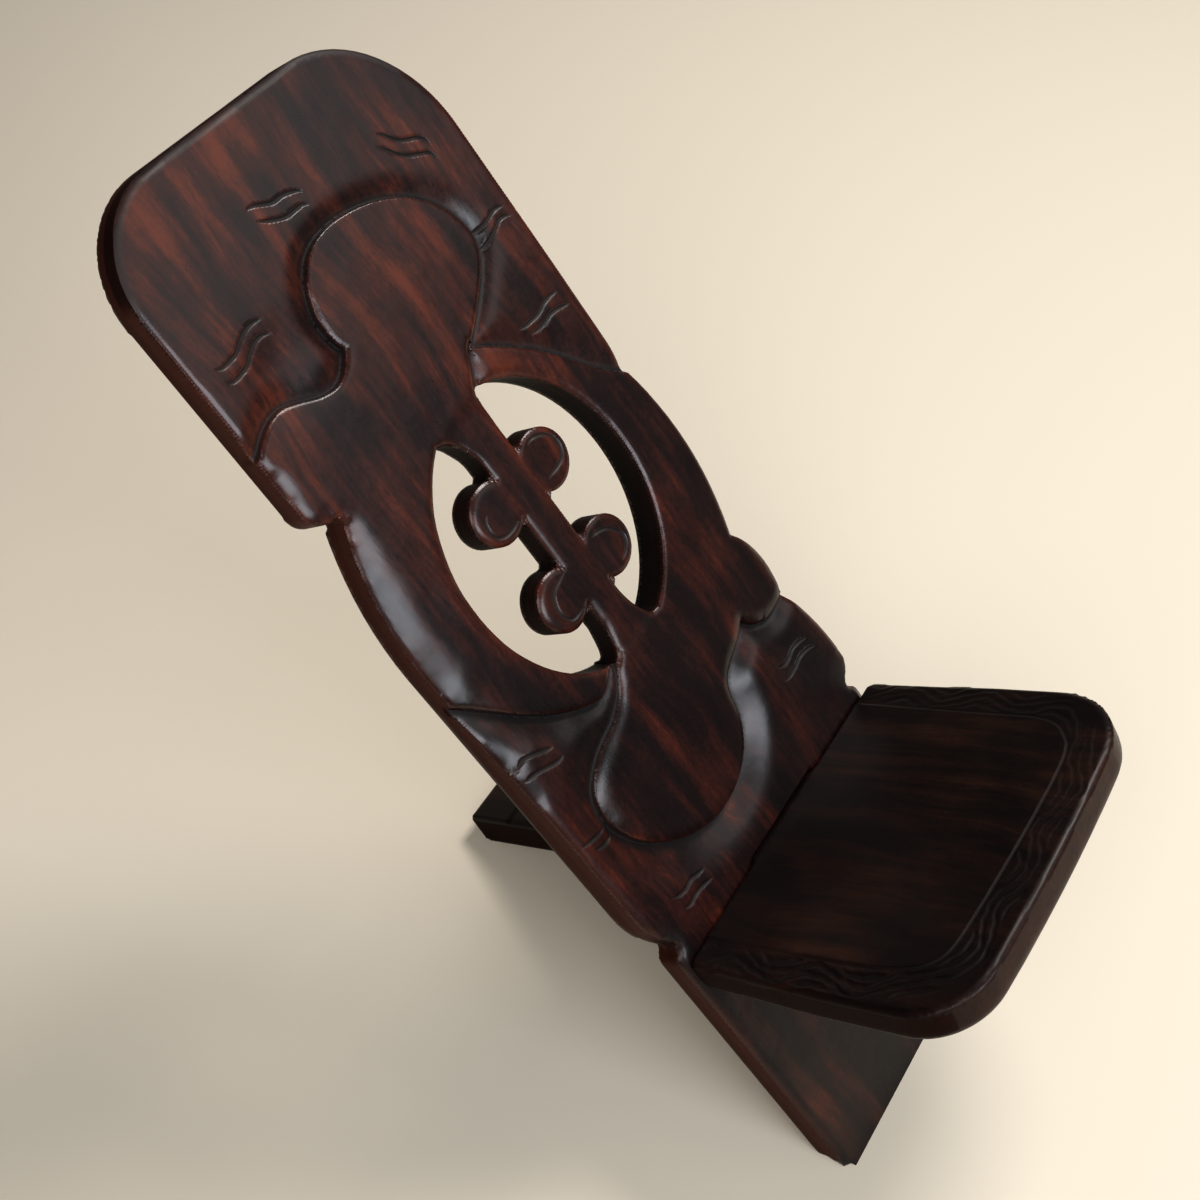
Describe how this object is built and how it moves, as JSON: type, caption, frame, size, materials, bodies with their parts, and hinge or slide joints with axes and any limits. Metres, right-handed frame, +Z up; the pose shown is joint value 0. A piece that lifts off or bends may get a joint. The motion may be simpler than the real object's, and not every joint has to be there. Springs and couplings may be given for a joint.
{
  "type": "african birthing chair",
  "caption": "Low two-board hardwood chair: a carved leaning back board with a front leg, and a seat board whose tongue slides through a slot.",
  "frame": {"origin": "middle of the front leg's foot face, on the floor, under the carving's axis", "axes": "+X to the sitter's left, -Y towards the front of the chair, +Z up"},
  "size_m": [0.306, 0.6378, 0.7015],
  "materials": {
    "carved_hardwood": "dark polished hardwood with red-brown streaks",
    "seat_hardwood": "dark oiled hardwood, duller and scratched, bare at the rear foot"
  },
  "bodies": {
    "back": {"back_board": "carved_hardwood"},
    "seat": {"seat_board": "seat_hardwood"}
  },
  "joints": [
    {"name": "seat_pull", "type": "slide", "parent": "back", "child": "seat", "axis": [0, -0.8526, 0.5225], "range_m": [0, 0.36]}
  ]
}
